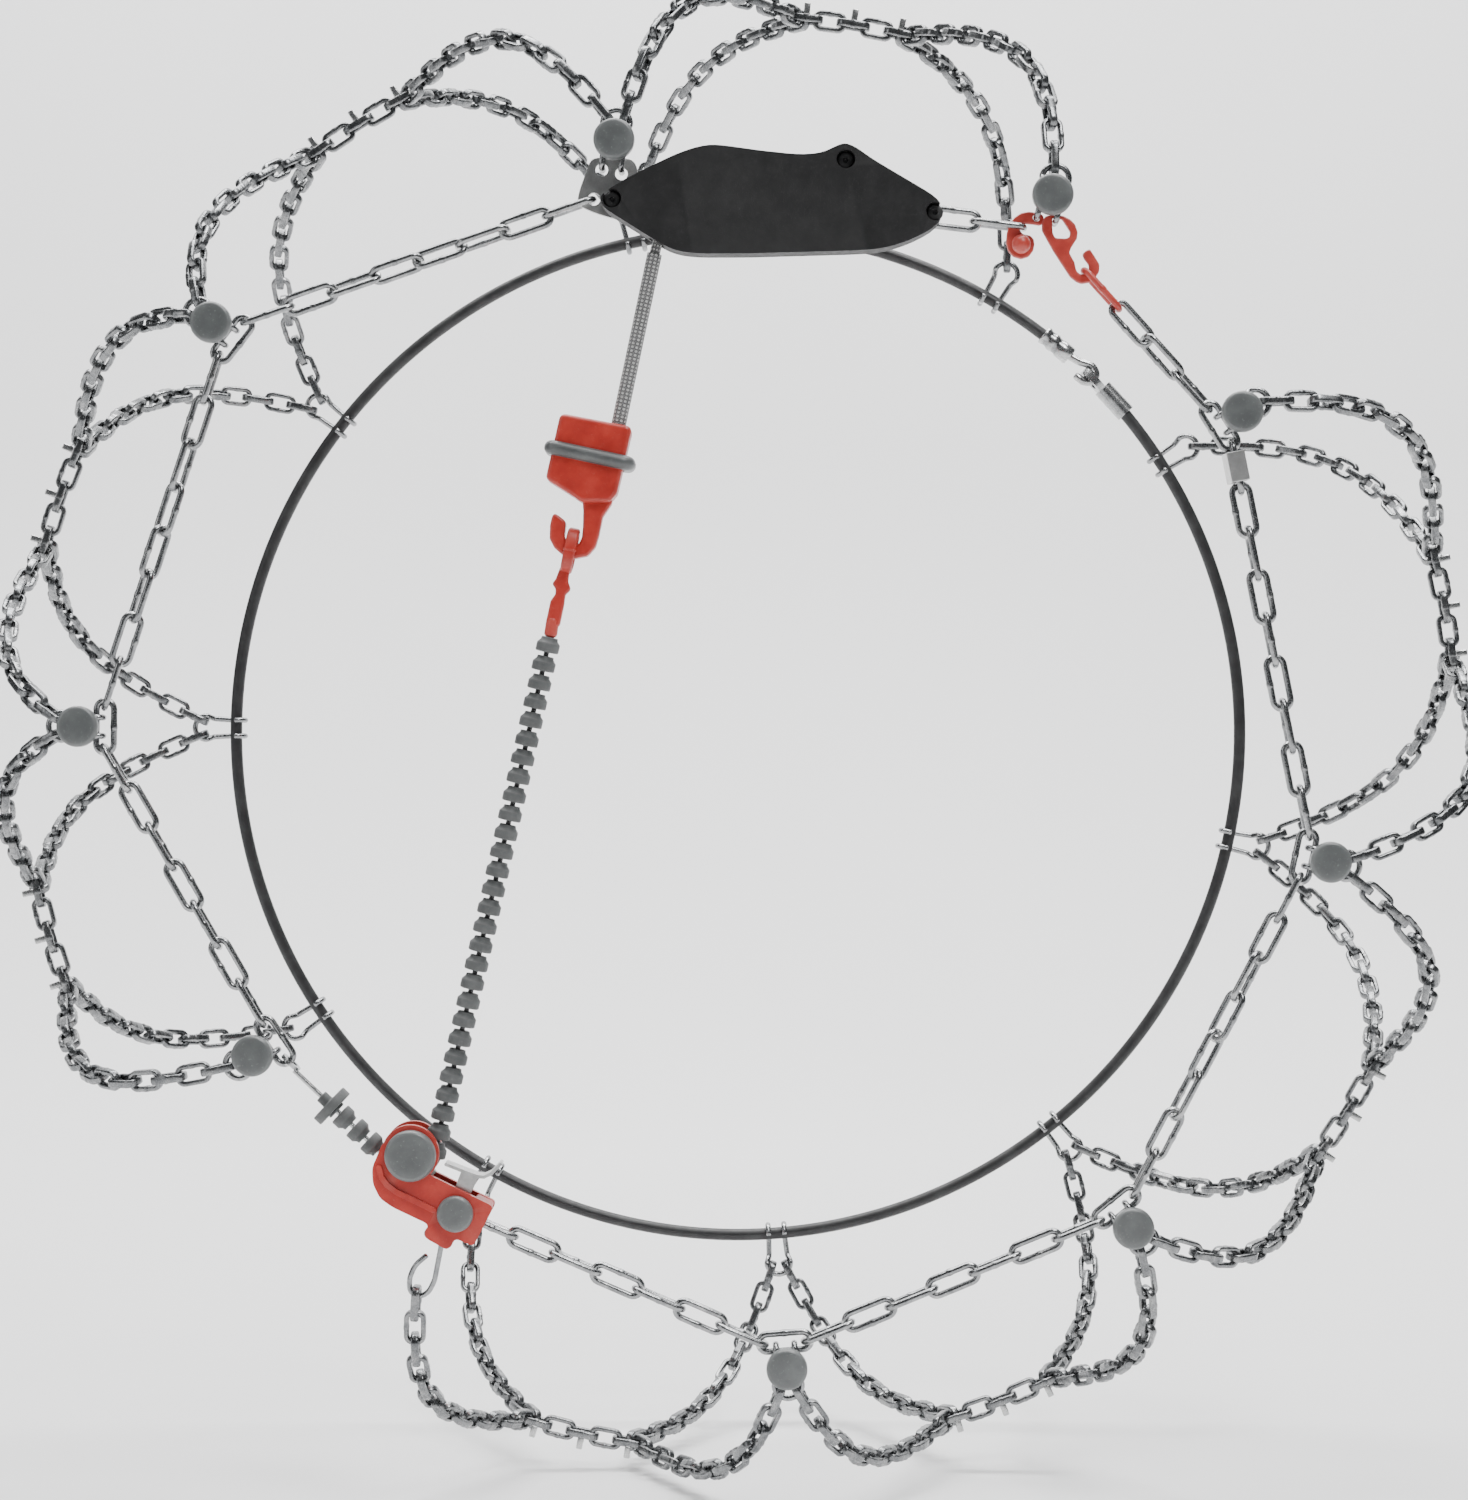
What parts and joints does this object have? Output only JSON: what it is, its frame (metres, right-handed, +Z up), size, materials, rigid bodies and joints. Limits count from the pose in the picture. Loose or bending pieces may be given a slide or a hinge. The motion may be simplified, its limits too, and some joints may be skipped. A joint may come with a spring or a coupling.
{
  "type": "tire snow chain",
  "caption": "Self-tensioning diamond-pattern snow chain in its mounted shape, with side chain, tread chains, grip cleats, bead-line ratchet tensioner, cord cover, closing hook and inner cable.",
  "frame": {"origin": "on the wheel axis, in the middle plane of the tread", "axes": "+Y along the wheel axis towards the vehicle, -Y the outer side with the cover and tensioner; +Z up; +X to the right as seen from the outer side"},
  "size_m": [0.7397, 0.2674, 0.7432],
  "materials": {
    "chain_steel": "bright zinc plated alloy steel, tumbled",
    "galvanised": "galvanised round wire",
    "cap_grey": "satin grey, slightly domed",
    "sheet_steel": "bare sheet steel",
    "red_coating": "red coating over steel",
    "red_plastic": "moulded red nylon",
    "grey_rubber": "grey moulded rubber",
    "black_plastic": "fine black grain",
    "white_plastic": "natural nylon",
    "cord_braid": "grey braided sheath over elastic",
    "cord_core": "braided cord",
    "cable_coat": "black plastic coating over a steel cable"
  },
  "bodies": {
    "net": {"cover_front": "black_plastic", "cover_back": "black_plastic", "cover_screws": "black_plastic", "bracket_plate": "sheet_steel", "cord_anchor": "white_plastic", "elastic_cord": "cord_braid", "feed_beads": "grey_rubber", "feed_rod": "galvanised", "stop_disc": "grey_rubber", "ratchet_front": "red_plastic", "ratchet_back": "red_plastic", "ratchet_pins": "galvanised", "wheel_cap": "cap_grey", "pivot_cap": "cap_grey", "lever_spring": "galvanised", "ratchet_hook": "galvanised", "node_cap_1": "cap_grey", "node_cap_2": "cap_grey", "node_cap_3": "cap_grey", "node_cap_4": "cap_grey", "node_cap_5": "cap_grey", "node_cap_6": "cap_grey", "node_cap_7": "cap_grey", "node_cap_8": "cap_grey", "node_cap_9": "cap_grey", "node_staples": "galvanised", "tread_chain_a": "chain_steel", "tread_chain_b": "chain_steel", "tread_chain_c": "chain_steel", "tread_chain_d": "chain_steel", "tread_chain_e": "chain_steel", "tread_chain_f": "chain_steel", "tread_chain_g": "chain_steel", "tread_chain_h": "chain_steel", "side_chain_19": "galvanised", "side_chain_98": "galvanised", "side_chain_87": "galvanised", "side_chain_r6": "galvanised", "side_chain_65": "galvanised", "side_chain_54": "galvanised", "side_chain_43": "galvanised", "side_chain_h3": "galvanised", "cover_links": "galvanised", "ball_hook": "red_coating", "closing_hook": "red_coating", "red_link": "red_coating", "chain_clip": "galvanised", "inner_cable": "cable_coat", "inner_hook": "galvanised", "inner_eye": "galvanised", "inner_clips": "galvanised"},
    "line": {"tension_clip": "red_plastic", "clip_ring": "grey_rubber", "pull_strap": "red_plastic", "tension_beads": "grey_rubber", "tension_core": "cord_core"},
    "wheel": {"ratchet_wheel": "white_plastic"},
    "lever": {"release_lever": "sheet_steel"},
    "roller_1": {"cord_roller_1": "white_plastic"},
    "roller_2": {"cord_roller_2": "white_plastic"}
  },
  "joints": [
    {"name": "line_slide", "type": "slide", "parent": "net", "child": "line", "axis": [0.2185, 0, 0.9758], "range_m": [-0.00906, 0], "stiffness_N_per_m": 600, "springref_m": 0.05, "deforming": ["elastic_cord"]},
    {"name": "wheel_spin", "type": "hinge", "parent": "net", "child": "wheel", "pos_m": [-0.1538, -0.124, -0.1985], "axis": [0, 1, 0], "range_deg": [0, 51.6]},
    {"name": "lever_pivot", "type": "hinge", "parent": "net", "child": "lever", "pos_m": [-0.1328, -0.124, -0.2258], "axis": [0, 1, 0], "range_deg": [0, 12], "stiffness_Nm_per_rad": 0.05, "springref_deg": -22.92},
    {"name": "roller_1_spin", "type": "hinge", "parent": "net", "child": "roller_1", "pos_m": [-0.0275, -0.1266, 0.243], "axis": [0, 1, 0], "continuous": true},
    {"name": "roller_2_spin", "type": "hinge", "parent": "net", "child": "roller_2", "pos_m": [0.078, -0.1266, 0.245], "axis": [0, 1, 0], "continuous": true}
  ],
  "couplings": [
    {"joint": "wheel_spin", "follows": "line_slide", "rad_per_m": -99.08}
  ]
}
